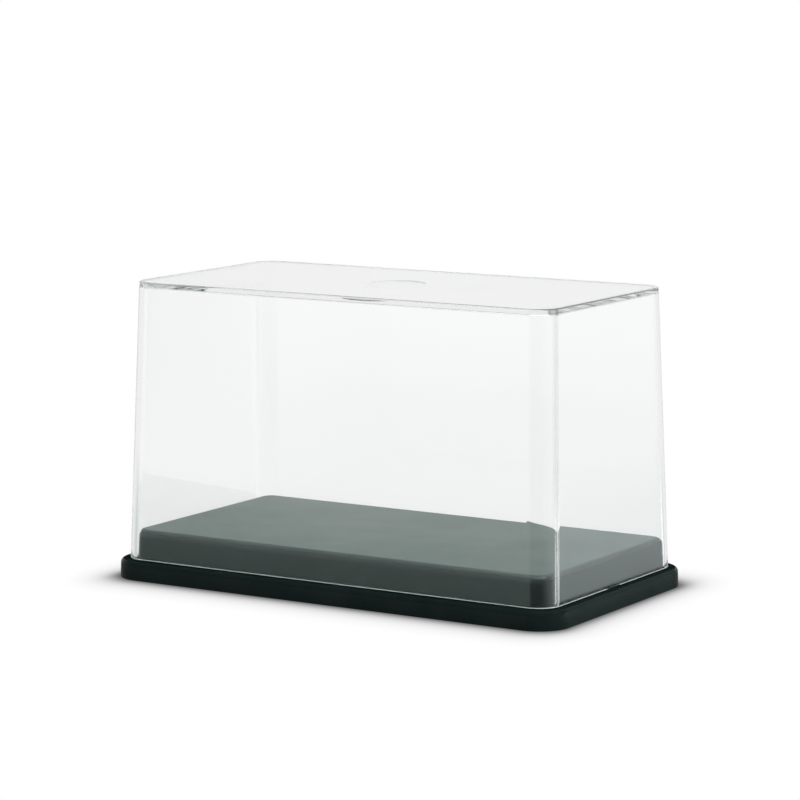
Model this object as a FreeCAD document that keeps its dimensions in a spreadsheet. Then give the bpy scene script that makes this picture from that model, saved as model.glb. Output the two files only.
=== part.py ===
import FreeCAD, Part
import math
import os
import Sketcher

# Display case for a small scale model: a clear one-piece dust cover that lowers over a
# raised black deck and stands on the ledge around it.
# Frame: millimetres, +Z up, origin on the resting plane under the middle of the base,
# +X along the length, the front long side faces -Y.

doc = FreeCAD.newDocument("DisplayCase")

# ----------------------------------------------------------------------------------
# Driving dimensions: alias and value; a text starting with "=" is worked out in the sheet
# ----------------------------------------------------------------------------------
DIMS = [
    # base: flange
    ("base_len", 110.0),      # length over the flange at its foot
    ("base_wid", 60.0),       # width over the flange at its foot
    ("ledge_top", 4.15),      # top of the flange, where the cover stands
    ("flange_slope", 0.14),   # inward lean of the flange side over its height
    ("flange_rad", 7.0),      # vertical corner radius of the flange
    ("flange_round", 1.0),    # rounding of the flange's top edge
    ("foot_round", 0.12),     # softened lower outside edge of the flange
    # base: deck
    ("deck_top", 10.45),      # top of the raised deck
    ("deck_high", "=deck_top - ledge_top"),
    ("deck_len", 102.4),      # deck length at the ledge
    ("deck_wid", 52.4),       # deck width at the ledge
    ("deck_slope", 0.35),     # inward lean of the deck side over its height
    ("deck_rad", 3.4),        # vertical corner radius of the deck
    ("deck_round", 1.5),      # rounding of the deck's top edge
    ("deck_root", 0.2),       # small fillet where the deck meets the ledge
    # base: hollows
    ("shell_wall", 1.8),      # wall thickness of the base moulding
    ("flange_hollow_len", "=base_len - 2 * shell_wall"),
    ("flange_hollow_wid", "=base_wid - 2 * shell_wall"),
    ("flange_hollow_rad", "=flange_rad - shell_wall"),
    ("flange_hollow_deep", "=ledge_top - shell_wall"),
    ("deck_hollow_trim", 0.2),  # extra wall around the deck hollow, per side
    ("deck_hollow_len", "=deck_len - 2 * shell_wall - 2 * deck_hollow_trim"),
    ("deck_hollow_wid", "=deck_wid - 2 * shell_wall - 2 * deck_hollow_trim"),
    ("deck_hollow_rad", "=deck_rad - shell_wall"),
    ("deck_hollow_deep", "=deck_top - shell_wall"),
    # base: ribs
    ("rib_thick", 1.2),
    ("rib_low", 2.0),         # lowest point of the ribs above the resting plane
    ("rib_bite", 0.5),        # each rib end runs this far into the deck wall
    ("rib_sink", 0.2),        # rib tops run this far into the deck plate
    ("rib_high", "=deck_top - shell_wall - rib_low + rib_sink"),
    ("long_rib_len", "=deck_hollow_len + 2 * rib_bite"),
    ("long_rib_at", 9.0),     # lengthwise ribs, from the middle
    ("cross_rib_len", "=deck_hollow_wid + 2 * rib_bite"),
    ("cross_rib_pitch", 17.0),
    # base: slots in the ledge that take the cover's tongues
    ("slot_len", 6.2),
    ("slot_wid", 1.5),
    ("slot_mid", 52.25),
    ("slot_over", 0.5),       # the cut runs this far past the ledge plate
    ("slot_deep", "=shell_wall + slot_over"),
    # clear cover
    ("rim_low", 4.17),        # rim of the cover, just above the ledge
    ("cover_top", 64.15),
    ("cover_high", "=cover_top - rim_low"),
    ("cover_len", 105.7),
    ("cover_wid", 55.7),
    ("cover_slope_len", 1.7),  # inward lean of the short sides over the height
    ("cover_slope_wid", 2.2),  # inward lean of the long sides over the height
    ("cover_rad", 5.0),
    ("cover_wall", 1.2),
    ("roof_round", 0.35),     # outer edge of the roof
    ("inner_round", 0.4),     # inner edge of the roof
    ("tongue_len", 5.6),
    ("tongue_thick", 1.0),
    ("tongue_drop", 2.3),
    ("tongue_mid", "=(cover_len - cover_wall) / 2"),
    ("gate_dia", 12.4),       # shallow round well over the moulding gate
    ("gate_deep", 0.15),
]
CROSS_RIBS = 4        # cross ribs in the row, centred on the deck
LEAST_ROW_GAIN = 1000.0  # mm3 that the rest of the row adds when it lies under the deck
BOX_TOL = 0.01        # slack when picking edges and faces by their bounding box
LEVEL_TOL = 0.001     # slack when picking edges that lie at one height
LEDGE_MARGIN = 1.0    # edges of the flange lie farther than this outside the deck

sheet = doc.addObject("Spreadsheet::Sheet", "Dims")
for row, (alias, value) in enumerate(DIMS, start=1):
    sheet.set("A%d" % row, alias)
    sheet.set("B%d" % row, str(value))
    sheet.setAlias("B%d" % row, alias)
doc.recompute()
size = {alias: float(sheet.get(alias)) for alias, _ in DIMS}


# ----------------------------------------------------------------------------------
# Sketches. Lengths and places are given as aliases of the sheet.
# ----------------------------------------------------------------------------------
def plane(body, role):
    for feature in body.Origin.OriginFeatures:
        if feature.Role == role:
            return feature
    raise RuntimeError("no plane " + role)


def flat_sketch(body, name, height=None):
    """A sketch parallel to the XY plane, on the resting plane if no height is given."""
    sketch = body.newObject("Sketcher::SketchObject", name)
    sketch.AttachmentSupport = [(plane(body, "XY_Plane"), "")]
    sketch.MapMode = "FlatFace"
    if height:
        sketch.setExpression(".AttachmentOffset.Base.z", "Dims." + height)
    return sketch


def drive(sketch, name, kind, places, alias, factor=1):
    """Add a named dimension bound to factor * alias."""
    index = sketch.addConstraint(Sketcher.Constraint(kind, *places, factor * size[alias]))
    sketch.renameConstraint(index, name)
    sketch.setExpression("Constraints." + name, "%g * Dims.%s" % (factor, alias))


def line(start, end):
    return Part.LineSegment(FreeCAD.Vector(*start, 0), FreeCAD.Vector(*end, 0))


def rounded_rect(sketch, length, width, radius):
    """Rectangle with rounded corners, centred on the origin."""
    half_x, half_y, rad = size[length] / 2, size[width] / 2, size[radius]
    in_x, in_y = half_x - rad, half_y - rad
    quarter = math.pi / 2

    def arc(x, y, start):
        ring = Part.Circle(FreeCAD.Vector(x, y, 0), FreeCAD.Vector(0, 0, 1), rad)
        return Part.ArcOfCircle(ring, start, start + quarter)

    sketch.addGeometry([
        line((-in_x, -half_y), (in_x, -half_y)),   # 0 front
        arc(in_x, -in_y, -quarter),                # 1
        line((half_x, -in_y), (half_x, in_y)),     # 2 right
        arc(in_x, in_y, 0),                        # 3
        line((in_x, half_y), (-in_x, half_y)),     # 4 back
        arc(-in_x, in_y, quarter),                 # 5
        line((-half_x, in_y), (-half_x, -in_y)),   # 6 left
        arc(-in_x, -in_y, 2 * quarter),            # 7
    ], False)
    rule = Sketcher.Constraint
    rules = []
    # each arc runs counter-clockwise, from the line before it to the line after it
    for i in range(0, 8, 2):
        rules.append(rule("Tangent", i, 2, i + 1, 1))
        rules.append(rule("Tangent", i + 1, 2, (i + 2) % 8, 1))
    rules += [rule("Horizontal", 0), rule("Horizontal", 4)]
    rules += [rule("Vertical", 2), rule("Vertical", 6)]
    rules += [rule("Equal", 1, i) for i in (3, 5, 7)]
    rules.append(rule("Symmetric", 7, 3, 3, 3, -1, 1))
    sketch.addConstraint(rules)
    drive(sketch, "length", "DistanceX", (6, 1, 2, 1), length)
    drive(sketch, "width", "DistanceY", (0, 1, 4, 1), width)
    drive(sketch, "radius", "Radius", (1,), radius)
    return sketch


def plain_rect(sketch, size_x, size_y, mid_x=None, mid_y=None):
    """Rectangle about a middle point. mid_x and mid_y are (factor, alias), or None for
    a middle at zero."""
    x = mid_x[0] * size[mid_x[1]] if mid_x else 0
    y = mid_y[0] * size[mid_y[1]] if mid_y else 0
    half_x, half_y = size[size_x] / 2, size[size_y] / 2
    first = sketch.GeometryCount
    corners = [
        (x - half_x, y - half_y), (x + half_x, y - half_y),
        (x + half_x, y + half_y), (x - half_x, y + half_y),
    ]
    sketch.addGeometry([line(corners[i], corners[(i + 1) % 4]) for i in range(4)], False)
    middle = sketch.addGeometry(Part.Point(FreeCAD.Vector(x, y, 0)), True)
    rule = Sketcher.Constraint
    rules = [rule("Coincident", first + i, 2, first + (i + 1) % 4, 1) for i in range(4)]
    rules += [
        rule("Horizontal", first), rule("Horizontal", first + 2),
        rule("Vertical", first + 1), rule("Vertical", first + 3),
        rule("Symmetric", first, 1, first + 1, 2, middle, 1),
    ]
    sketch.addConstraint(rules)
    drive(sketch, "size_x%d" % first, "DistanceX", (first, 1, first, 2), size_x)
    drive(sketch, "size_y%d" % first, "DistanceY", (first + 1, 1, first + 1, 2), size_y)
    # -1 is the X axis with the origin as its start point, -2 is the Y axis
    for name, kind, place, zero_axis in (
        ("mid_x", "DistanceX", mid_x, -2),
        ("mid_y", "DistanceY", mid_y, -1),
    ):
        if place:
            factor, alias = place
            drive(sketch, "%s%d" % (name, first), kind, (-1, 1, middle, 1), alias, factor)
        else:
            sketch.addConstraint(rule("PointOnObject", middle, 1, zero_axis))
    return sketch


def circle(sketch, diameter):
    """Circle about the origin."""
    ring = Part.Circle(FreeCAD.Vector(0, 0, 0), FreeCAD.Vector(0, 0, 1), size[diameter] / 2)
    sketch.addGeometry(ring, False)
    drive(sketch, "diameter", "Diameter", (0,), diameter)
    sketch.addConstraint(Sketcher.Constraint("Coincident", 0, 3, -1, 1))
    return sketch


# ----------------------------------------------------------------------------------
# Features. Each one is recomputed at once, so the next can pick its edges and faces.
# ----------------------------------------------------------------------------------
def volume_now(body):
    doc.recompute()
    shape = body.Shape
    if shape.isNull() or not shape.isValid():
        raise RuntimeError(body.Label + " is not a valid shape")
    return shape.Volume


def require_change(name, before, after, grows):
    """Stop if a feature did not add or remove material as it should."""
    gain = after - before if grows else before - after
    if gain < 1e-3:
        raise RuntimeError("%s changed the volume by %.4f" % (name, after - before))


def extrude(body, kind, name, sketch, length, reverse):
    before = 0.0 if body.Tip is None else volume_now(body)
    feature = body.newObject("PartDesign::" + kind, name)
    feature.Profile = sketch
    feature.setExpression("Length", "Dims." + length)
    feature.Reversed = reverse
    require_change(name, before, volume_now(body), kind == "Pad")
    return feature


def pad(body, name, sketch, length, down=False):
    return extrude(body, "Pad", name, sketch, length, down)


def pocket(body, name, sketch, length, up=False):
    return extrude(body, "Pocket", name, sketch, length, up)


def fillet(body, name, radius, test):
    """Round the edges of the current tip that pass the test."""
    volume_now(body)
    tip = body.Tip
    names = ["Edge%d" % i for i, edge in enumerate(tip.Shape.Edges, start=1) if test(edge)]
    if not names:
        raise RuntimeError("no edges for " + name)
    feature = body.newObject("PartDesign::Fillet", name)
    feature.Base = (tip, names)
    feature.setExpression("Radius", "Dims." + radius)
    volume_now(body)


def faces_where(shape, test):
    return ["Face%d" % i for i, face in enumerate(shape.Faces, start=1) if test(face)]


def draft(body, name, slope, height, test, neutral):
    """Tilt the faces that pass the test inwards about the neutral face."""
    before = volume_now(body)
    tip = body.Tip
    feature = body.newObject("PartDesign::Draft", name)
    feature.Base = (tip, faces_where(tip.Shape, test))
    feature.NeutralPlane = (tip, faces_where(tip.Shape, neutral)[:1])
    feature.setExpression("Angle", "atan(Dims.%s / Dims.%s)" % (slope, height))
    doc.recompute()
    # the sides must lean inwards, so a draft that adds material is turned round
    if feature.Shape.Volume > before:
        feature.Reversed = True
    require_change(name, before, volume_now(body), False)


# ----------------------------------------------------------------------------------
# Tests that pick edges and faces
# ----------------------------------------------------------------------------------
def level(edge, z):
    box = edge.BoundBox
    return abs(box.ZMin - z) < LEVEL_TOL and abs(box.ZMax - z) < LEVEL_TOL


def rises(edge, low, height):
    box = edge.BoundBox
    return abs(box.ZMin - low) < BOX_TOL and box.ZLength > height - BOX_TOL


def past_deck(edge):
    """How far the edge reaches beyond the deck's foot, along X and along Y."""
    box = edge.BoundBox
    return (
        max(abs(box.XMin), abs(box.XMax)) - size["deck_len"] / 2,
        max(abs(box.YMin), abs(box.YMax)) - size["deck_wid"] / 2,
    )


def flat(face):
    return type(face.Surface).__name__ == "Plane"


def is_side(face):
    return flat(face) and abs(face.normalAt(0, 0).z) < 0.5


def faces_up(face):
    return flat(face) and face.normalAt(0, 0).z > 0.9


def faces_down(face):
    return flat(face) and face.normalAt(0, 0).z < -0.9


# ----------------------------------------------------------------------------------
# Base moulding: flange with a ledge, raised deck, hollow and ribbed underneath
# ----------------------------------------------------------------------------------
def add_base_blocks(body):
    """Flange and deck, with leaning sides."""
    outline = plain_rect(flat_sketch(body, "FlangeOutline"), "base_len", "base_wid")
    pad(body, "FlangeBlock", outline, "ledge_top")
    outline = plain_rect(
        flat_sketch(body, "DeckOutline", "ledge_top"), "deck_len", "deck_wid")
    pad(body, "DeckBlock", outline, "deck_high")
    ledge = size["ledge_top"]
    draft(
        body, "FlangeDraft", "flange_slope", "ledge_top",
        lambda face: is_side(face) and face.BoundBox.ZMax < ledge + BOX_TOL,
        faces_down,
    )
    draft(
        body, "DeckDraft", "deck_slope", "deck_high",
        lambda face: is_side(face) and face.BoundBox.ZMin > ledge - BOX_TOL,
        lambda face: faces_up(face) and face.BoundBox.ZMax < ledge + BOX_TOL,
    )


def round_base(body):
    ledge = size["ledge_top"]
    fillet(body, "FlangeCorners", "flange_rad", lambda edge: rises(edge, 0, ledge))
    fillet(
        body, "DeckCorners", "deck_rad",
        lambda edge: rises(edge, ledge, size["deck_high"]),
    )
    fillet(
        body, "FlangeRound", "flange_round",
        lambda edge: level(edge, ledge) and max(past_deck(edge)) > LEDGE_MARGIN,
    )
    fillet(body, "DeckRound", "deck_round", lambda edge: level(edge, size["deck_top"]))
    fillet(
        body, "DeckRoot", "deck_root",
        lambda edge: level(edge, ledge) and max(past_deck(edge)) <= BOX_TOL,
    )
    fillet(body, "FootRound", "foot_round", lambda edge: level(edge, 0))


def hollow_base(body):
    """Hollow under the flange, then the deeper hollow under the deck."""
    for name, alias in (("FlangeHollow", "flange_hollow"), ("DeckHollow", "deck_hollow")):
        outline = rounded_rect(
            flat_sketch(body, name), alias + "_len", alias + "_wid", alias + "_rad")
        pocket(body, name + "Cut", outline, alias + "_deep", up=True)


def add_ribs(body):
    """Two lengthwise ribs under the deck, and a row of cross ribs."""
    sketch = flat_sketch(body, "LongRibs", "rib_low")
    for side in (-1, 1):
        plain_rect(sketch, "long_rib_len", "rib_thick", mid_y=(side, "long_rib_at"))
    pad(body, "LongRibPads", sketch, "rib_high")

    gaps = CROSS_RIBS - 1
    sketch = plain_rect(
        flat_sketch(body, "CrossRib", "rib_low"), "rib_thick", "cross_rib_len",
        mid_x=(-gaps / 2, "cross_rib_pitch"),
    )
    rib = pad(body, "CrossRibPad", sketch, "rib_high")
    before = volume_now(body)
    ribs = body.newObject("PartDesign::LinearPattern", "CrossRibRow")
    ribs.Originals = [rib]
    ribs.Direction = (plane(body, "YZ_Plane"), [""])
    ribs.setExpression("Length", "%d * Dims.cross_rib_pitch" % gaps)
    ribs.Occurrences = CROSS_RIBS
    body.Tip = ribs
    doc.recompute()
    # guards against a row that runs towards -X, off the base
    if body.Shape.Volume < before + LEAST_ROW_GAIN:
        ribs.Reversed = True
    require_change("CrossRibRow", before, volume_now(body), True)


def build_base():
    body = doc.addObject("PartDesign::Body", "base_shell")
    add_base_blocks(body)
    round_base(body)
    hollow_base(body)
    add_ribs(body)
    # slots through the ledge, one in the middle of each short side
    sketch = flat_sketch(body, "TongueSlots", "ledge_top")
    for side in (-1, 1):
        plain_rect(sketch, "slot_wid", "slot_len", mid_x=(side, "slot_mid"))
    pocket(body, "TongueSlotCuts", sketch, "slot_deep")
    return body


# ----------------------------------------------------------------------------------
# Clear cover: one moulding with drafted walls, a flat roof and two tongues
# ----------------------------------------------------------------------------------
def add_cover_shell(body):
    outline = plain_rect(
        flat_sketch(body, "CoverOutline", "rim_low"), "cover_len", "cover_wid")
    pad(body, "CoverBlock", outline, "cover_high")
    draft(
        body, "LongSideDraft", "cover_slope_wid", "cover_high",
        lambda face: flat(face) and abs(face.normalAt(0, 0).y) > 0.9, faces_down,
    )
    draft(
        body, "ShortSideDraft", "cover_slope_len", "cover_high",
        lambda face: flat(face) and abs(face.normalAt(0, 0).x) > 0.9, faces_down,
    )
    fillet(
        body, "CornerRound", "cover_rad",
        lambda edge: rises(edge, size["rim_low"], size["cover_high"]),
    )
    # hollowed inwards from the open underside
    before = volume_now(body)
    tip = body.Tip
    shell = body.newObject("PartDesign::Thickness", "Hollow")
    shell.Base = (tip, faces_where(tip.Shape, faces_down))
    shell.setExpression("Value", "Dims.cover_wall")
    shell.Reversed = True
    shell.Mode = "Skin"
    shell.Join = "Intersection"
    require_change("Hollow", before, volume_now(body), False)


def build_cover():
    body = doc.addObject("PartDesign::Body", "clear_cover")
    add_cover_shell(body)
    roof_top = size["cover_top"]
    roof_under = roof_top - size["cover_wall"]
    fillet(body, "RoofRound", "roof_round", lambda edge: level(edge, roof_top))
    fillet(body, "InnerRound", "inner_round", lambda edge: level(edge, roof_under))
    # tongues under the rim, one in the middle of each short side
    sketch = flat_sketch(body, "Tongues", "rim_low")
    for side in (-1, 1):
        plain_rect(sketch, "tongue_thick", "tongue_len", mid_x=(side, "tongue_mid"))
    pad(body, "TonguePads", sketch, "tongue_drop", down=True)
    well = circle(flat_sketch(body, "GateWell", "cover_top"), "gate_dia")
    pocket(body, "GateWellCut", well, "gate_deep")
    return body


parts = [build_base(), build_cover()]
doc.recompute()

# ----------------------------------------------------------------------------------
# Check every object, then write one STEP file per piece
# ----------------------------------------------------------------------------------
for obj in doc.Objects:
    bad = [state for state in obj.State if state in ("Invalid", "Error")]
    if bad:
        raise RuntimeError("%s is %s" % (obj.Label, bad))
for body in parts:
    shape = body.Shape
    if shape.isNull() or not shape.isValid() or len(shape.Solids) != 1:
        raise RuntimeError(body.Label + " is not one valid solid")

os.makedirs("parts", exist_ok=True)
for body in parts:
    body.Shape.exportStep("parts/%s.step" % body.Label)
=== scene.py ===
"""A shallow display case: a black moulded base under a clear dust cover.

It stands on the floor at z = 0, centred on the origin, with its long side along X.
The cover rests on the base's ledge and has a tongue on each short side, which goes
into a slot in the base. The camera looks from -Y, turned a little towards +X.
"""

import math

import bmesh
import bpy
from mathutils import Matrix, Vector


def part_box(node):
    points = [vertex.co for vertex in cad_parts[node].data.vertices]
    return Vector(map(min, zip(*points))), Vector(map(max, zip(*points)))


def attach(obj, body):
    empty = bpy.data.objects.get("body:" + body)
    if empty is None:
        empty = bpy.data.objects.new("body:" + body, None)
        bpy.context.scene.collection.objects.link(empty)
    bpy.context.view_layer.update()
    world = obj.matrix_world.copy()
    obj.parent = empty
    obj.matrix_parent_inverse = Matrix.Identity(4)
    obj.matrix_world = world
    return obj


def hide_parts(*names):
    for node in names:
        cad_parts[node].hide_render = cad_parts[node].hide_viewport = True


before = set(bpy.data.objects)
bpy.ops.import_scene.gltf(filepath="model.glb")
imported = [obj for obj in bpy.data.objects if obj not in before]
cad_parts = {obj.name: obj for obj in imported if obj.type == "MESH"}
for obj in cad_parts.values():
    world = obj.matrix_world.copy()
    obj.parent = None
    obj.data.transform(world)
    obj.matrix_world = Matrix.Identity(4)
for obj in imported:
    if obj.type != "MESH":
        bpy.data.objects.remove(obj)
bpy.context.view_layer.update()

# ------------------------------------------------------------------------------
# Sizes in millimetres. X and Y sizes of outlines are half lengths.
# ------------------------------------------------------------------------------
MM = 0.001
BASE_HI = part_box("base_shell")[1]
COVER_LO, COVER_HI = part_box("clear_cover")

# base
FLANGE_X, FLANGE_Y, DECK_Z = (v / MM for v in BASE_HI)
LEDGE_Z = 4.15                     # top of the flange, where the cover rests
FLANGE_RAD = 7.0                   # corner radius seen from above
FLANGE = (FLANGE_X, FLANGE_Y, FLANGE_RAD)
FLANGE_SLOPE = 0.14                # how far the side leans in up to the ledge
FLANGE_ROUND = 1.0
FOOT_ROUND = 0.12
DECK_X, DECK_Y, DECK_RAD = DECK = (51.2, 26.2, 3.4)
DECK_SLOPE = 0.35                  # how far the side leans in up to the deck's top
DECK_ROUND = 1.5
DECK_ROOT = 0.2
SHELL = 1.8                        # wall thickness
DECK_WALL_EXTRA = 0.2              # added to the deck's side walls
CEILING_Z = DECK_Z - SHELL         # underside of the deck
SHELF_Z = LEDGE_Z - SHELL          # underside of the ledge
CEILING_ROUND, SHELF_ROUND = 0.3, 0.3
SHELF_GROOVE, FOOT_GROOVE = 0.25, 0.15

# ribs in the hollow, and slots for the tongues
RIB_LOW = 2.0
RIB_T = 1.2
RIB_ROUND = 0.25
RIB_BITE_SIDE, RIB_BITE_TOP = 0.3, 0.2     # how far ribs run on past the hollow
LONG_RIBS_Y = (-9.0, 9.0)
CROSS_RIBS_X = (-25.5, -8.5, 8.5, 25.5)
SLOT_X = 52.25
SLOT_HALF = (0.75, 3.1)
SLOT_LOW = 1.5
SLOT_OVER = 1.0                    # the cutter stands this far above the ledge
SLOT_ROUND = 0.3

# cover
COVER_X, COVER_Y, COVER_Z = (v / MM for v in COVER_HI)
RIM_Z = LEDGE_Z + 0.02
SLOPE_X, SLOPE_Y = 1.7, 2.2        # how far the sides lean in from rim to roof
COVER_RAD = 5.0
WALL = 1.2
ROOF_ROUND = 0.35
INNER_ROUND = 0.4
RIM_SOFT = 0.12
TONGUE_HALF = 2.8
TONGUE_REACH = TONGUE_HALF + 0.01  # tells the tongue's points from their neighbours
TONGUE_LOW = COVER_LO.z / MM
TONGUE_ROUND = 0.22
GATE_R = 6.2                       # the shallow round well in the roof
GATE_DEEP = 0.15
GATE_SOFT = GATE_DEEP * 0.5
GATE_MARGIN = 6.0                  # flat ring of roof around the well

# ring stations
CORNER = 28      # segments in each rounded corner
LONG = 8         # segments along each long side
SHORT = (-8.4, -2.9, -TONGUE_HALF, 0.0, TONGUE_HALF, 2.9, 8.4)   # y on the short sides
RING_COUNT = 2 * (2 * (CORNER + 1) + len(SHORT) + LONG - 1)

SMALL_STEPS = 3    # segments in the small rounds
FOOT_STEPS = 4     # in the foot and the root of the deck
WIDE_STEPS = 12    # in the flange's shoulder and the edge of the deck
INNER_STEPS = 6    # in the roof's inner edge
ROOF_STEPS = 7     # in the roof's outer edge
TONGUE_STEPS = 4   # in the tongue's end
SHARP_DEGREES = 35.0


# ------------------------------------------------------------------------------
# Rings: an outline is (half length x, half length y, corner radius)
# ------------------------------------------------------------------------------
def shrink(outline, amount):
    return tuple(v - amount for v in outline)


def ring(outline, z):
    """Rounded rectangle at height z. Every ring has the same stations, and the short
    sides have stations at the edges of the tongue."""
    half_x, half_y, radius = outline
    centre_x, centre_y = half_x - radius, half_y - radius
    half = []

    def corner(y, start):
        for i in range(CORNER + 1):
            turn = start + (math.pi / 2) * i / CORNER
            half.append((centre_x + radius * math.cos(turn), y + radius * math.sin(turn), z))

    corner(-centre_y, -math.pi / 2)
    half += [(half_x, y, z) for y in SHORT]
    corner(centre_y, 0.0)
    half += [(centre_x - 2 * centre_x * i / LONG, half_y, z) for i in range(1, LONG)]
    return half + [(-x, -y, z) for x, y, z in half]


def circle(radius, z):
    """An evenly divided circle with as many points as a ring. Its +X point goes with
    the middle station of the ring's +X side, so the flat between them never folds."""
    start = CORNER + 1 + len(SHORT) // 2
    turns = [2 * math.pi * (i - start) / RING_COUNT for i in range(RING_COUNT)]
    return [(radius * math.cos(turn), radius * math.sin(turn), z) for turn in turns]


def arc(radius, steps, first=0):
    """Pairs (sideways, up) of a quarter turn from (0, 0) to (radius, radius)."""
    turns = [(math.pi / 2) * i / steps for i in range(first, steps + 1)]
    return [(radius * (1 - math.cos(turn)), radius * math.sin(turn)) for turn in turns]


def rounded_top(outline, top, radius, steps):
    """Rings up a wall's last stretch, turning inwards to the flat at top."""
    return [ring(shrink(outline, side), top - radius + up) for side, up in arc(radius, steps)]


def groove(outline, bottom, radius, first=0):
    """Rings from the wall's foot at bottom, up and outwards along a quarter round."""
    return [ring(shrink(outline, up - radius), bottom + radius - side)
            for side, up in reversed(arc(radius, SMALL_STEPS, first))]


# ------------------------------------------------------------------------------
# Mesh building
# ------------------------------------------------------------------------------
def skin(rings):
    """A closed skin swept through the rings. Returns it with its bands of quads,
    band k lying between rings k and k + 1."""
    bm = bmesh.new()
    rows = [[bm.verts.new([c * MM for c in point]) for point in points] for points in rings]
    bands = []
    for low, high in zip(rows, rows[1:]):
        band = []
        for i in range(RING_COUNT):
            j = (i + 1) % RING_COUNT
            band.append(bm.faces.new((low[i], low[j], high[j], high[i])))
        bands.append(band)
    bm.faces.new(list(reversed(rows[0])))
    bm.faces.new(rows[-1])
    bm.normal_update()
    return bm, bands


def to_object(name, bm):
    mesh = bpy.data.meshes.new(name)
    bm.to_mesh(mesh)
    bm.free()
    obj = bpy.data.objects.new(name, mesh)
    bpy.context.scene.collection.objects.link(obj)
    return obj


def shaded_object(name, bm):
    """Smooth faces, with the steep edges marked sharp."""
    bmesh.ops.recalc_face_normals(bm, faces=bm.faces)
    for face in bm.faces:
        face.smooth = True
    limit = math.radians(SHARP_DEGREES)
    for edge in bm.edges:
        edge.smooth = not (len(edge.link_faces) == 2 and edge.calc_face_angle(0.0) > limit)
    return to_object(name, bm)


def add_even_shading(obj):
    mod = obj.modifiers.new("even_shading", "WEIGHTED_NORMAL")
    mod.mode = "FACE_AREA"
    mod.weight = 90
    mod.keep_sharp = True


# ------------------------------------------------------------------------------
# Clear cover
# ------------------------------------------------------------------------------
CLEAR, MATT_RIM, SOFT_EDGE, DULL_GATE = range(4)    # material slots


def cover_outline(z):
    share = (z - RIM_Z) / (COVER_Z - RIM_Z)
    return COVER_X - SLOPE_X * share, COVER_Y - SLOPE_Y * share, COVER_RAD


def at_tongue(face):
    return all(abs(v.co.y) < TONGUE_REACH * MM for v in face.verts)


def draw_tongue(bm, region):
    """Extrudes part of the rim straight down, then rounds the tongue's end."""
    steps = [(0.0, RIM_Z - TONGUE_LOW - TONGUE_ROUND)]     # (inset, down)
    turned = arc(TONGUE_ROUND, TONGUE_STEPS)
    for (side0, up0), (side1, up1) in zip(turned, turned[1:]):
        steps.append((side1 - side0, up1 - up0))
    for inset, down in steps:
        out = bmesh.ops.extrude_face_region(bm, geom=region)
        verts = [g for g in out["geom"] if isinstance(g, bmesh.types.BMVert)]
        bmesh.ops.delete(bm, geom=region, context="FACES_ONLY")
        region = [g for g in out["geom"] if isinstance(g, bmesh.types.BMFace)]
        for v in verts:
            for face in v.link_faces:
                face.material_index = CLEAR
        for axis in (0, 1):
            places = [v.co[axis] for v in verts]
            middle = (min(places) + max(places)) / 2
            half = (max(places) - min(places)) / 2
            for v in verts:
                v.co[axis] = middle + (v.co[axis] - middle) * (1 - inset * MM / half)
        for v in verts:
            v.co.z -= down * MM


def build_cover():
    rings = []
    # inside, from the middle of the roof's underside down to the rim
    for side, up in reversed(arc(INNER_ROUND, INNER_STEPS)):
        z = COVER_Z - WALL - INNER_ROUND + up
        rings.append(ring(shrink(cover_outline(z), WALL + side), z))
    # a fine groove at the wall's foot, then the flat rim out to its rounded edge
    rim = cover_outline(RIM_Z)
    rings += groove(shrink(rim, WALL), RIM_Z, RIM_SOFT, first=1)
    flat = len(rings)
    rings.append(ring(shrink(rim, WALL - RIM_SOFT), RIM_Z))
    for side, up in arc(RIM_SOFT, SMALL_STEPS):
        points = ring(shrink(rim, RIM_SOFT - up), RIM_Z + side)
        # no round above a tongue, where the wall goes on down
        rings.append([(x, y, RIM_Z if abs(y) < TONGUE_REACH else z) for x, y, z in points])
    # outside, up to the roof
    edge = len(rings)
    for side, up in arc(ROOF_ROUND, ROOF_STEPS):
        z = COVER_Z - ROOF_ROUND + up
        rings.append(ring(shrink(cover_outline(z), side), z))
    # roof and the shallow well over the gate
    rings.append(circle(GATE_R + GATE_MARGIN, COVER_Z))
    well = len(rings)
    for side, up in arc(GATE_SOFT, SMALL_STEPS):
        rings.append(circle(GATE_R + GATE_SOFT - up, COVER_Z - side))
    for side, up in arc(GATE_SOFT, SMALL_STEPS, 1):
        rings.append(circle(GATE_R - side, COVER_Z - GATE_DEEP + GATE_SOFT - up))
    rings.append(circle(GATE_R * 0.5, COVER_Z - GATE_DEEP))
    bm, bands = skin(rings)

    # the rim is matt but for the tongues, the roof's rounded edges inside and outside
    # are less polished than the flats, and the well's wall is dull
    finishes = (
        (MATT_RIM, bands[flat:flat + 1 + SMALL_STEPS]),
        (SOFT_EDGE, bands[:INNER_STEPS] + bands[edge:edge + ROOF_STEPS]),
        (DULL_GATE, bands[well:well + 2 * SMALL_STEPS]),
    )
    for slot, chosen in finishes:
        for band in chosen:
            for face in band:
                if slot != MATT_RIM or not at_tongue(face):
                    face.material_index = slot
    tongues = [face for face in bands[flat] if at_tongue(face)]
    ends = [[face for face in tongues if face.verts[0].co.x * sign > 0] for sign in (1, -1)]
    for faces in ends:
        draw_tongue(bm, faces)
    obj = shaded_object("dust_cover", bm)
    add_even_shading(obj)
    return obj


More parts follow.
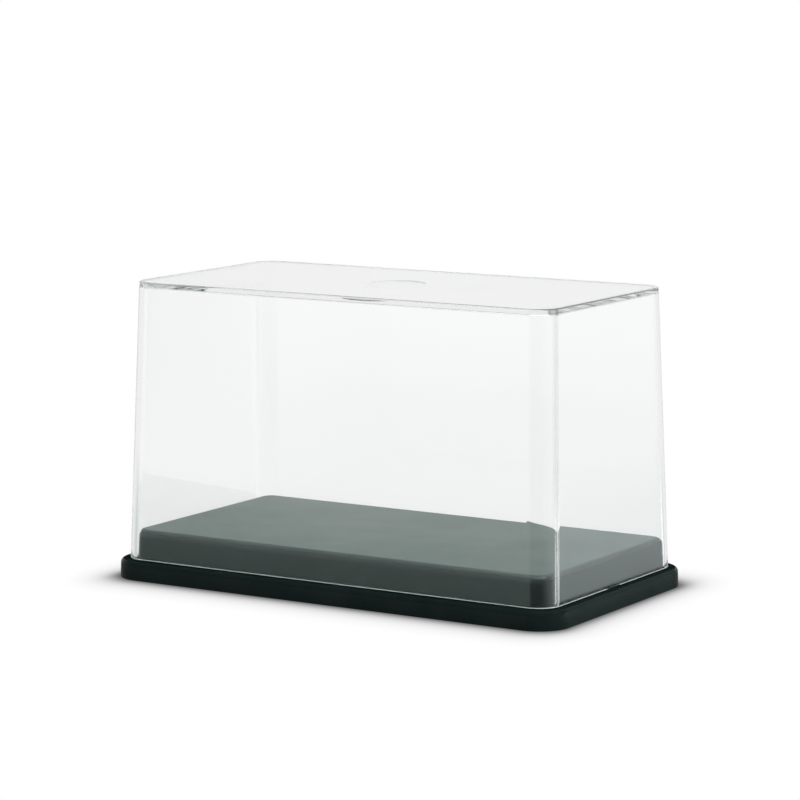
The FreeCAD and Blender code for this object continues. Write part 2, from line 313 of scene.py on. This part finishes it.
# ------------------------------------------------------------------------------
# Black base
# ------------------------------------------------------------------------------
def solid_box(name, centre, half, heights, soft, upright):
    """A box with rounded upright edges, or with its lower edges rounded.
    centre and half are (x, y), heights is (low, high)."""
    bm = bmesh.new()
    bmesh.ops.create_cube(bm, size=1.0)
    low, high = heights
    middle = (*centre, (low + high) / 2)
    size = (2 * half[0], 2 * half[1], high - low)
    for v in bm.verts:
        for k in range(3):
            v.co[k] = (middle[k] + v.co[k] * size[k]) * MM
    if upright:
        chosen = [e for e in bm.edges if abs(e.verts[0].co.z - e.verts[1].co.z) > 1e-7]
    else:
        foot = min(v.co.z for v in bm.verts)
        chosen = [e for e in bm.edges if all(v.co.z < foot + 1e-7 for v in e.verts)]
    bmesh.ops.bevel(bm, geom=chosen, offset=soft * MM, offset_type="OFFSET",
                    segments=3, profile=0.5, affect="EDGES")
    bmesh.ops.recalc_face_normals(bm, faces=bm.faces)
    return to_object(name, bm)


def carve(obj, tool, operation):
    """Applies one boolean and removes the tool."""
    mod = obj.modifiers.new("cut", "BOOLEAN")
    mod.operation = operation
    mod.solver = "EXACT"
    mod.object = tool
    bpy.context.view_layer.update()
    done = obj.evaluated_get(bpy.context.evaluated_depsgraph_get())
    mesh = bpy.data.meshes.new_from_object(done)
    obj.modifiers.clear()
    old = obj.data
    obj.data = mesh
    bpy.data.meshes.remove(old)
    bpy.data.objects.remove(tool)


def base_rings():
    rings = []
    # underside, from the middle of the deck's ceiling out to the foot of the flange
    hollow_x, hollow_y, hollow_rad = shrink(DECK, SHELL)
    hollow = (hollow_x - DECK_WALL_EXTRA, hollow_y - DECK_WALL_EXTRA, hollow_rad)
    rings += reversed(rounded_top(hollow, CEILING_Z, CEILING_ROUND, SMALL_STEPS))
    rings += groove(hollow, SHELF_Z, SHELF_GROOVE)
    inside = shrink(FLANGE, SHELL)
    rings += reversed(rounded_top(inside, SHELF_Z, SHELF_ROUND, SMALL_STEPS))
    rings += groove(inside, 0.0, FOOT_GROOVE)
    # foot, flange side, rounded shoulder
    for side, up in reversed(arc(FOOT_ROUND, FOOT_STEPS)):
        rings.append(ring(shrink(FLANGE, side), FOOT_ROUND - up))
    lean = FLANGE_SLOPE * (LEDGE_Z - FLANGE_ROUND) / LEDGE_Z
    rings += rounded_top(shrink(FLANGE, lean), LEDGE_Z, FLANGE_ROUND, WIDE_STEPS)
    # ledge, root of the deck, deck side, rounded edge of the deck
    for side, up in arc(DECK_ROOT, FOOT_STEPS):
        rings.append(ring(shrink(DECK, up - DECK_ROOT), LEDGE_Z + side))
    tall = DECK_Z - LEDGE_Z
    lean = DECK_SLOPE * (tall - DECK_ROUND) / tall
    rings += rounded_top(shrink(DECK, lean), DECK_Z, DECK_ROUND, WIDE_STEPS)
    return rings


def build_base():
    obj = shaded_object("black_base", skin(base_rings())[0])

    reach_x, reach_y = (v - SHELL + RIB_BITE_SIDE for v in (DECK_X, DECK_Y))
    ribs = [((0.0, y), (reach_x, RIB_T / 2)) for y in LONG_RIBS_Y]
    ribs += [((x, 0.0), (RIB_T / 2, reach_y)) for x in CROSS_RIBS_X]
    heights = (RIB_LOW, CEILING_Z + RIB_BITE_TOP)
    for centre, half in ribs:
        carve(obj, solid_box("rib", centre, half, heights, RIB_ROUND, upright=False), "UNION")
    heights = (SLOT_LOW, LEDGE_Z + SLOT_OVER)
    for x in (-SLOT_X, SLOT_X):
        slot = solid_box("slot", (x, 0.0), SLOT_HALF, heights, SLOT_ROUND, upright=True)
        carve(obj, slot, "DIFFERENCE")

    # weld what the booleans left and shade the result afresh
    bm = bmesh.new()
    bm.from_mesh(obj.data)
    bmesh.ops.remove_doubles(bm, verts=bm.verts, dist=1e-7)
    old = obj.data
    bpy.data.objects.remove(obj)
    obj = shaded_object("black_base", bm)
    bpy.data.meshes.remove(old)
    add_even_shading(obj)
    return obj


# ------------------------------------------------------------------------------
# Node building
# ------------------------------------------------------------------------------
class Nodes:
    """Adds nodes to one tree. An input's value may be a constant or a socket."""

    def __init__(self, tree):
        self.tree = tree

    def put(self, target, value):
        if isinstance(value, bpy.types.NodeSocket):
            self.tree.links.new(value, target)
        else:
            target.default_value = value

    def add(self, kind, inputs=None, **settings):
        node = self.tree.nodes.new(kind)
        for key, value in settings.items():
            setattr(node, key, value)
        for key, value in (inputs or {}).items():
            self.put(node.inputs[key], value)
        return node

    def math(self, operation, *values, clamp=False):
        inputs = dict(enumerate(values))
        return self.add("ShaderNodeMath", inputs, operation=operation, use_clamp=clamp).outputs[0]

    def remap(self, value, source, target, smooth=False):
        inputs = {"Value": value, "From Min": source[0], "From Max": source[1],
                  "To Min": target[0], "To Max": target[1]}
        kind = "SMOOTHSTEP" if smooth else "LINEAR"
        return self.add("ShaderNodeMapRange", inputs, interpolation_type=kind).outputs["Result"]

    def fade(self, value, source, target=(0.0, 1.0)):
        return self.remap(value, source, target, smooth=True)

    def noise(self, vector, scale, detail, roughness):
        inputs = {"Vector": vector, "Scale": scale, "Detail": detail, "Roughness": roughness}
        return self.add("ShaderNodeTexNoise", inputs).outputs["Fac"]

    def ramp(self, value, stops):
        """stops are (position, grey level or colour)."""
        node = self.add("ShaderNodeValToRGB", {0: value})
        band = node.color_ramp.elements
        while len(band) < len(stops):
            band.new(0.5)
        for element, (position, _) in zip(band, stops):
            element.position = position
        for element, (_, level) in zip(band, stops):
            colour = level if isinstance(level, tuple) else (level,) * 3
            element.color = (*colour, 1)
        return node.outputs[0]

    def bump(self, height, strength, distance):
        inputs = {"Strength": strength, "Distance": distance, "Height": height}
        return self.add("ShaderNodeBump", inputs).outputs[0]

    def mix_colour(self, factor, first, second):
        inputs = {"Factor": factor, 6: first, 7: second}
        return self.add("ShaderNodeMix", inputs, data_type="RGBA").outputs[2]

    def mix_shader(self, factor, first, second):
        return self.add("ShaderNodeMixShader", {0: factor, 1: first, 2: second}).outputs[0]

    def principled(self, inputs):
        return self.add("ShaderNodeBsdfPrincipled", inputs).outputs[0]

    def object_place(self):
        return self.add("ShaderNodeTexCoord").outputs["Object"]

    def split(self, vector):
        return self.add("ShaderNodeSeparateXYZ", {0: vector}).outputs

    def surface(self, shader):
        self.add("ShaderNodeOutputMaterial", {"Surface": shader})


def new_material(name):
    mat = bpy.data.materials.new(name)
    mat.use_nodes = True
    mat.node_tree.nodes.clear()
    return mat, Nodes(mat.node_tree)


# ------------------------------------------------------------------------------
# Plastics
# ------------------------------------------------------------------------------
CLEAR_IOR = 1.59
SPECULAR_SPAN = 6.4     # mm of height that the specular levels are spread over
SPECULAR_LEVELS = [     # (height in mm, specular level): polished side, matt shoulder
    (0.0, 0.3), (LEDGE_Z - 1.3, 0.3), (LEDGE_Z - 0.8, 0.035), (LEDGE_Z - 0.2, 0.03),
    (LEDGE_Z - 0.1, 0.0), (LEDGE_Z + 0.05, 0.0), (LEDGE_Z + 0.5, 0.62)]
DARK_TONE, LIGHT_TONE = (0.004, 0.0085, 0.008), (0.0065, 0.0115, 0.011)
# base colour of the painted sheen on the deck's flat, seen at low angles
PAINTED_SHEEN_TONE = (0.003, 0.024, 0.017, 1)


def black_plastic():
    """Moulded black polystyrene: satin, finely sparked deck; smoother, glossier flange; a painted
    sheen on the deck's flat at low angles.
    """
    mat, nodes = new_material("moulded_black")
    place = nodes.object_place()
    height = nodes.split(place)["Z"]
    # how much this point belongs to the deck's top rather than to the polished sides
    deck = nodes.fade(height, source=((DECK_Z - 0.9) * MM, (DECK_Z - 0.2) * MM))
    # sparked grain of about 0.2 mm, uneven gloss, uneven tone
    fine = nodes.noise(place, scale=5200.0, detail=2.0, roughness=0.6)
    broad = nodes.noise(place, scale=55.0, detail=3.0, roughness=0.55)
    tone = nodes.noise(place, scale=130.0, detail=2.0, roughness=0.5)

    share = nodes.remap(height, source=(0.0, SPECULAR_SPAN * MM), target=(0.0, 1.0))
    specular = nodes.ramp(share, [(z / SPECULAR_SPAN, level) for z, level in SPECULAR_LEVELS])
    rough = nodes.remap(deck, source=(0.0, 1.0), target=(0.24, 0.36))
    gloss = nodes.remap(broad, source=(0.3, 0.7), target=(-0.03, 0.03))
    black = nodes.ramp(tone, [(0.3, DARK_TONE), (0.7, LIGHT_TONE)])
    # painted sheen: seen at a low angle, the sparked flat of the deck gets a lighter, greener
    # base colour than the rest, standing in for the light its grain scatters; from above it is as
    # black
    flat = nodes.fade(height, source=((DECK_Z - 0.2) * MM, (DECK_Z - 0.01) * MM))
    facing = nodes.add("ShaderNodeLayerWeight").outputs["Facing"]
    painted_sheen = nodes.math("MULTIPLY", flat, nodes.fade(facing, source=(0.55, 0.76)))
    grain = nodes.remap(fine, source=(0.3, 0.7), target=(0.0, 1.0))
    strength = nodes.remap(deck, source=(0.0, 1.0), target=(0.15, 0.75))
    nodes.surface(nodes.principled({
        "Base Color": nodes.mix_colour(painted_sheen, black, PAINTED_SHEEN_TONE),
        "Roughness": nodes.math("ADD", rough, gloss, clamp=True),
        "Specular IOR Level": specular,
        "Specular Tint": (0.82, 1.0, 0.94, 1),
        "IOR": 1.55,
        "Normal": nodes.bump(grain, strength=strength, distance=0.000012),
    }))
    return mat


def clear_plastic(name, low, high):
    """Crystal-clear moulded polystyrene with a trace of cool tint and faintly uneven
    faces. low and high are its least and greatest roughness."""
    mat, nodes = new_material(name)
    place = nodes.object_place()
    smear = nodes.noise(place, scale=60.0, detail=4.0, roughness=0.6)
    slow = nodes.noise(place, scale=28.0, detail=1.0, roughness=0.4)
    plastic = nodes.principled({
        "Transmission Weight": 1.0,
        "IOR": CLEAR_IOR,
        "Base Color": (0.992, 0.996, 0.995, 1),
        "Roughness": nodes.remap(smear, source=(0.45, 0.75), target=(low, high)),
        "Normal": nodes.bump(slow, strength=0.25, distance=0.0001),
    })
    # lamps reach what stands behind the plastic
    shadow_ray = nodes.add("ShaderNodeLightPath").outputs["Is Shadow Ray"]
    see = nodes.add("ShaderNodeBsdfTransparent", {"Color": (0.9, 0.92, 0.915, 1)})
    nodes.surface(nodes.mix_shader(shadow_ray, plastic, see.outputs[0]))
    return mat


def matt_skin(name, colour):
    """The same clear plastic with a fine matt skin that scatters light: the cover's rim
    and the gate's wall."""
    mat, nodes = new_material(name)
    grain = nodes.noise(nodes.object_place(), scale=2600.0, detail=2.0, roughness=0.6)
    nodes.surface(nodes.principled({
        "Base Color": (*colour, 1),
        "Transmission Weight": 0.25,
        "IOR": CLEAR_IOR,
        "Roughness": nodes.remap(grain, source=(0.3, 0.7), target=(0.45, 0.6)),
        "Normal": nodes.bump(grain, strength=0.3, distance=0.00002),
    }))
    return mat


cover = build_cover()
# in the order of the slots CLEAR, MATT_RIM, SOFT_EDGE, DULL_GATE
cover.data.materials.append(clear_plastic("moulded_clear", low=0.0, high=0.035))
cover.data.materials.append(matt_skin("moulded_clear_rim", colour=(0.78, 0.83, 0.82)))
cover.data.materials.append(clear_plastic("moulded_clear_edge", low=0.16, high=0.22))
cover.data.materials.append(matt_skin("moulded_clear_gate", colour=(0.56, 0.58, 0.575)))
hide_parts("clear_cover")
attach(cover, "cover")

base = build_base()
base.data.materials.append(black_plastic())
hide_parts("base_shell")
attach(base, "base")


# ------------------------------------------------------------------------------
# Stage: a pale round sweep. From here on lengths are in metres.
# ------------------------------------------------------------------------------
SWEEP_RADII = (0.05, 0.1, 0.2, 0.4, 0.8, 1.3)    # rings of the flat floor
SWEEP_BEND = 0.7                                 # radius of the turn up into the wall
SWEEP_BEND_STEPS = 16
SWEEP_TOP = 1.6
SWEEP_TURNS = 96


def cool(level):
    return (0.86 * level, level, 0.96 * level)


# Mirrored surroundings: (heading in degrees, 0 towards -Y and 90 towards +X; level).
# The near room is what short rays see, the far room what long rays see.
NEAR_ROOM = [
    (-180, 0.86), (-120, 0.86), (-85, cool(0.6)), (-55, cool(0.33)), (-38, cool(0.26)),
    (-14, cool(0.26)), (-11, cool(0.03)), (46, 0.03), (62, 0.12), (95, 0.33),
    (118, (0.54, 0.58, 0.585)), (150, (0.575, 0.62, 0.625)), (180, 0.86)]
FAR_ROOM = [
    (-180, 0.86), (-120, 0.86), (-85, 0.87), (-55, 0.8), (-38, 0.77), (-14, 0.77),
    (-11, 0.42), (46, 0.42), (62, 0.5), (95, 0.7), (112, 0.72), (117, 0.1), (141, 0.1),
    (147, 0.86), (180, 0.86)]
STRIP_LIGHT = [(-180, 0.0), (128, 0.0), (131, 1.0), (143, 1.0), (147, 0.0)]
STRIP_LEVEL = 5.0
STRIP_START = (0.0235, 0.0265)   # ray lengths over which the strip light comes in
FAR_LENGTHS = (0.05, 0.26)       # ray lengths over which near turns into far
CLOSE_LEVEL = 0.2                # shade on the shortest rays
CLOSE_LENGTHS = (0.0262, 0.0285)
UPPER_LEVEL = 0.75               # shade on the steepest rays
UPPER_RISE = (0.35, 0.6)
END_STRETCH = 0.4                # added share of distance beyond the flange's ends
# strength of the painted contact shadow on the paper
PAINTED_SHADOW_POWER, PAINTED_SHADOW_GAIN = 2.7, 1.05
PAPER = 1.0


def build_sweep():
    """Flat in the middle, turning up into a wall all round."""
    flat = SWEEP_RADII[-1]
    profile = [(radius, 0.0) for radius in SWEEP_RADII]
    for i in range(1, SWEEP_BEND_STEPS + 1):
        turn = (math.pi / 2) * i / SWEEP_BEND_STEPS
        profile.append((flat + SWEEP_BEND * math.sin(turn), SWEEP_BEND * (1 - math.cos(turn))))
    profile.append((flat + SWEEP_BEND, SWEEP_TOP))
    bm = bmesh.new()
    middle = bm.verts.new((0, 0, 0))
    angles = [2 * math.pi * i / SWEEP_TURNS for i in range(SWEEP_TURNS)]
    rows = [[bm.verts.new((radius * math.cos(a), radius * math.sin(a), z)) for a in angles]
            for radius, z in profile]
    for i in range(SWEEP_TURNS):
        bm.faces.new((middle, rows[0][i], rows[0][(i + 1) % SWEEP_TURNS]))
    for low, high in zip(rows, rows[1:]):
        for i in range(SWEEP_TURNS):
            j = (i + 1) % SWEEP_TURNS
            bm.faces.new((low[i], high[i], high[j], low[j]))
    for face in bm.faces:
        face.smooth = True
    return to_object("sweep", bm)


def mirrored_room(nodes, incoming, path):
    """The studio as the plastic mirrors it: dim towards the camera, brighter to the
    sides and behind, and shaded on short rays."""
    math_node = nodes.math
    way = nodes.split(incoming)
    angle = math_node("ARCTAN2", math_node("MULTIPLY", way["X"], -1.0), way["Y"])
    share = nodes.remap(angle, source=(-math.pi, math.pi), target=(0.0, 1.0))

    def by_heading(table):
        return nodes.ramp(share, [((degrees + 180.0) / 360.0, level) for degrees, level in table])

    length = path["Ray Length"]
    close = nodes.fade(length, source=CLOSE_LENGTHS, target=(CLOSE_LEVEL, 1.0))
    rise = math_node("MULTIPLY", way["Z"], -1.0)
    high = nodes.fade(rise, source=UPPER_RISE, target=(1.0, UPPER_LEVEL))
    level = math_node("MULTIPLY", close, high)
    # an upright strip light towards +X and +Y, seen only in the cover's outer skin
    far_fade = nodes.fade(length, source=FAR_LENGTHS, target=(STRIP_LEVEL, 0.0))
    strip = math_node("MULTIPLY", by_heading(STRIP_LIGHT), far_fade)
    strip = math_node("MULTIPLY", strip, nodes.fade(length, source=STRIP_START))
    skin_only = math_node("LESS_THAN", path["Transmission Depth"], 2.5)
    level = math_node("ADD", level, math_node("MULTIPLY", strip, skin_only))
    farness = nodes.fade(length, source=FAR_LENGTHS)
    room = nodes.mix_colour(farness, by_heading(NEAR_ROOM), by_heading(FAR_ROOM))
    dimmed = nodes.add("ShaderNodeVectorMath", {0: room, "Scale": level}, operation="SCALE")
    return nodes.add("ShaderNodeEmission", {"Color": dimmed.outputs[0]}).outputs[0]


def paper_with_painted_shadow(nodes, position):
    """Paper with a painted contact shadow: darker beside a low wall as tall as the flange."""
    math_node = nodes.math
    radius = FLANGE_RAD * MM
    spot = nodes.split(position)
    # distance from the flange's outline
    dx, dy = (math_node("SUBTRACT", math_node("ABSOLUTE", spot[axis]), (half - FLANGE_RAD) * MM)
              for axis, half in (("X", FLANGE_X), ("Y", FLANGE_Y)))
    beyond = math_node("MAXIMUM", math_node("SUBTRACT", dx, radius), 0.0)
    dx = math_node("ADD", dx, math_node("MULTIPLY", beyond, END_STRETCH))
    dx, dy = (math_node("MAXIMUM", d, 0.0) for d in (dx, dy))
    squares = [math_node("MULTIPLY", d, d) for d in (dx, dy)]
    gap = math_node("SUBTRACT", math_node("SQRT", math_node("ADD", *squares)), radius)
    # share of the sky left open by the wall
    reach = math_node("MAXIMUM", gap, 0.0)
    square = math_node("MULTIPLY", reach, reach)
    slant = math_node("SQRT", math_node("ADD", square, (LEDGE_Z * MM) ** 2))
    open_sky = math_node("ADD", math_node("DIVIDE", reach, slant), 1.0)
    open_sky = math_node("MULTIPLY", open_sky, 0.5)
    # painted contact shadow: the paper's glow is dimmed by that share
    painted_contact_shadow = math_node("POWER", open_sky, PAINTED_SHADOW_POWER)
    painted_contact_shadow = math_node("MULTIPLY", painted_contact_shadow, PAINTED_SHADOW_GAIN, clamp=True)
    inputs = {"Color": (PAPER, PAPER, PAPER, 1), "Strength": painted_contact_shadow}
    return nodes.add("ShaderNodeEmission", inputs).outputs[0]


def sweep_paper():
    """Pale paper to the eye; mirrored in the plastic it shows the studio instead."""
    mat, nodes = new_material("sweep_paper")
    geometry = nodes.add("ShaderNodeNewGeometry").outputs
    path = nodes.add("ShaderNodeLightPath").outputs
    mirrored = nodes.math("GREATER_THAN", path["Glossy Depth"], 0.5)
    room = mirrored_room(nodes, geometry["Incoming"], path)
    both = nodes.mix_shader(mirrored, paper_with_painted_shadow(nodes, geometry["Position"]), room)
    # nothing hides the underside from a camera below the floor
    below = nodes.add("ShaderNodeBsdfTransparent").outputs[0]
    nodes.surface(nodes.mix_shader(geometry["Backfacing"], both, below))
    return mat


sweep = build_sweep()
sweep.data.materials.append(sweep_paper())


# ------------------------------------------------------------------------------
# World and lights
# ------------------------------------------------------------------------------
def build_world():
    """A pale sky, a little dimmer where it is mirrored."""
    world = bpy.data.worlds.new("studio")
    bpy.context.scene.world = world
    world.use_nodes = True
    background = world.node_tree.nodes["Background"]
    background.inputs["Color"].default_value = (0.97, 0.985, 1.0, 1)
    nodes = Nodes(world.node_tree)
    depth = nodes.add("ShaderNodeLightPath").outputs["Glossy Depth"]
    mirrored = nodes.math("GREATER_THAN", depth, 0.5)
    strength = nodes.remap(mirrored, source=(0.0, 1.0), target=(0.75, 0.7))
    nodes.put(background.inputs["Strength"], strength)


def area(name, location, target, size, power, tint):
    data = bpy.data.lights.new(name, "AREA")
    data.shape = "RECTANGLE"
    data.size, data.size_y = size
    data.energy = power
    data.color = tint
    obj = bpy.data.objects.new(name, data)
    obj.location = location
    aim = Vector(target) - Vector(location)
    obj.rotation_euler = aim.to_track_quat("-Z", "Y").to_euler()
    bpy.context.scene.collection.objects.link(obj)
    obj.visible_glossy = False
    return obj


build_world()
area("overhead", location=(0.1, 0.15, 1.1), target=(0, 0, 0), size=(1.1, 1.1),
     power=9.0, tint=(1.0, 0.99, 0.97))
side_light = area("side", location=(0.8, 0.1, 0.3), target=(0, 0, 0.03), size=(0.5, 0.4),
                  power=5.0, tint=(1.0, 0.985, 0.98))
side_light.visible_transmission = False

# ------------------------------------------------------------------------------
# Camera
# ------------------------------------------------------------------------------
AZIMUTH = math.radians(32.0)      # from -Y towards +X
ELEVATION = math.radians(8.4)
ROLL = math.radians(-0.14)
AIM = Vector((0, 0, 0.03612))
DISTANCE = 0.708
SHIFT_RIGHT, SHIFT_UP = 0.00068, 0.00299


def build_camera():
    data = bpy.data.cameras.new("camera")
    data.sensor_width = 36.0
    data.lens = 149.355
    data.clip_start = 0.01
    data.clip_end = 50.0
    camera = bpy.data.objects.new("camera", data)
    back = Vector((math.sin(AZIMUTH) * math.cos(ELEVATION),
                   -math.cos(AZIMUTH) * math.cos(ELEVATION), math.sin(ELEVATION)))
    level_right = Vector((math.cos(AZIMUTH), math.sin(AZIMUTH), 0.0))
    level_up = back.cross(level_right)
    right = level_right * math.cos(ROLL) + level_up * math.sin(ROLL)
    up = -level_right * math.sin(ROLL) + level_up * math.cos(ROLL)
    place = AIM + back * DISTANCE + right * SHIFT_RIGHT + up * SHIFT_UP
    bpy.context.scene.collection.objects.link(camera)
    turned = Matrix((right, up, back)).transposed().to_4x4()
    camera.matrix_world = Matrix.Translation(place) @ turned
    bpy.context.scene.camera = camera


build_camera()

scene = bpy.context.scene
scene.view_settings.view_transform = "Standard"
scene.view_settings.look = "None"
scene.view_settings.exposure = 0.0
scene.view_settings.gamma = 1.0
scene.cycles.use_denoising = True
scene.cycles.max_bounces = 64
scene.cycles.transmission_bounces = 64
scene.cycles.glossy_bounces = 64
scene.cycles.diffuse_bounces = 4
scene.cycles.transparent_max_bounces = 24
scene.cycles.blur_glossy = 0.0
scene.cycles.caustics_reflective = True
scene.cycles.caustics_refractive = True
